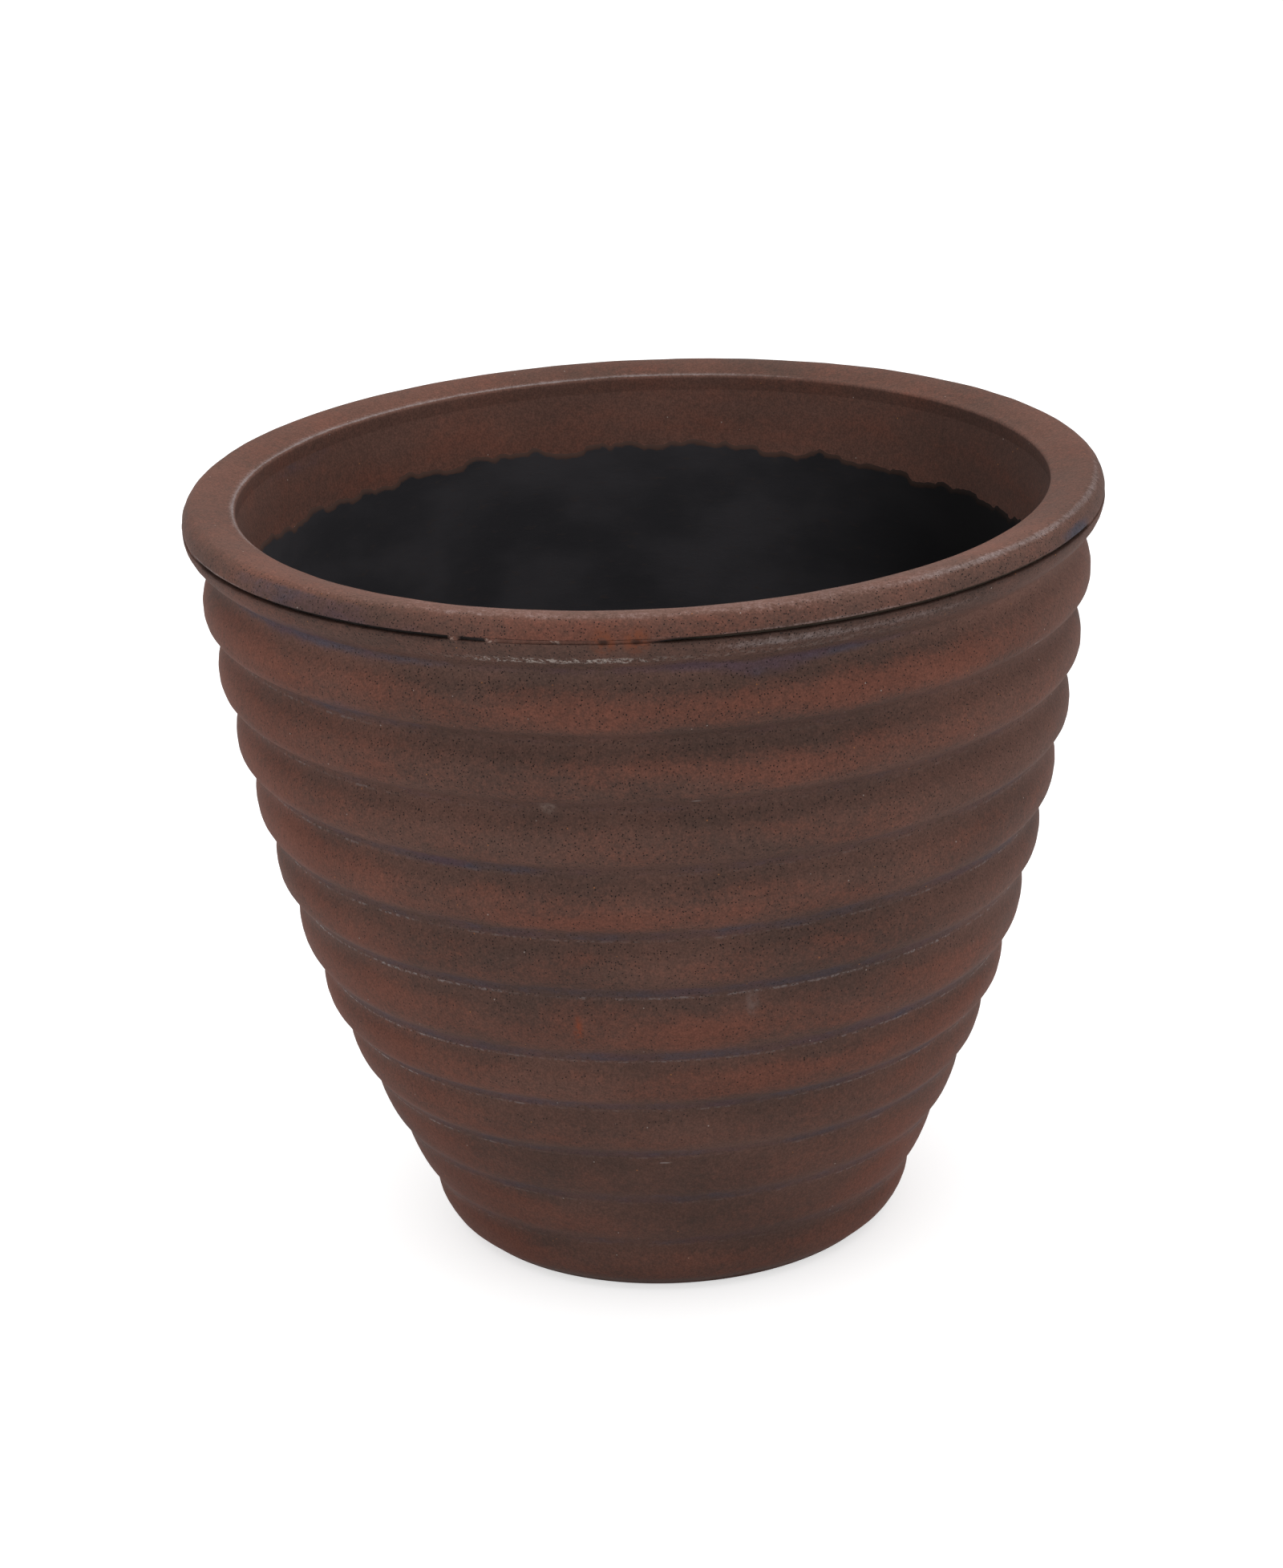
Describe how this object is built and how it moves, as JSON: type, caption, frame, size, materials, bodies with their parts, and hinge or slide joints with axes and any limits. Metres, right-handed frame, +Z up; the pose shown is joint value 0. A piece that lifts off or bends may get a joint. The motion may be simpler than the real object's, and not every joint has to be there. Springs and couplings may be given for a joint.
{
  "type": "ribbed planter",
  "caption": "Large tapering round planter with horizontal ribs, a rounded rim set on a seam, a black sealed inside and a drained floor slab.",
  "frame": {"origin": "centre of the foot, on the surface that the planter stands on", "axes": "+Z up along the axis of the pot, -Y towards the viewer, where the seam's patched stretch faces"},
  "size_m": [0.5599, 0.56, 0.4804],
  "materials": {
    "rust_washed_clay": "matte rust-brown wash over a dark, finely pinholed body, darker and bluish above each groove",
    "rust_washed_rim": "matte brown wash, worn pale and grey along the edges",
    "seam_filler": "sandy filler, dark where it lies back in the slit, pinkish and rust coloured where it is patched",
    "raw_clay_slab": "bare dark fibre clay, slightly grainy",
    "bedding_mortar": "matte grey mortar",
    "black_sealer": "matte black brushed waterproof coat with a ragged upper edge"
  },
  "bodies": {
    "root": {"ribbed_wall": "rust_washed_clay", "rim_ring": "rust_washed_rim", "rim_joint_filler": "seam_filler", "base_slab": "raw_clay_slab", "base_bedding": "bedding_mortar", "sealer_coat": "black_sealer"}
  },
  "joints": []
}
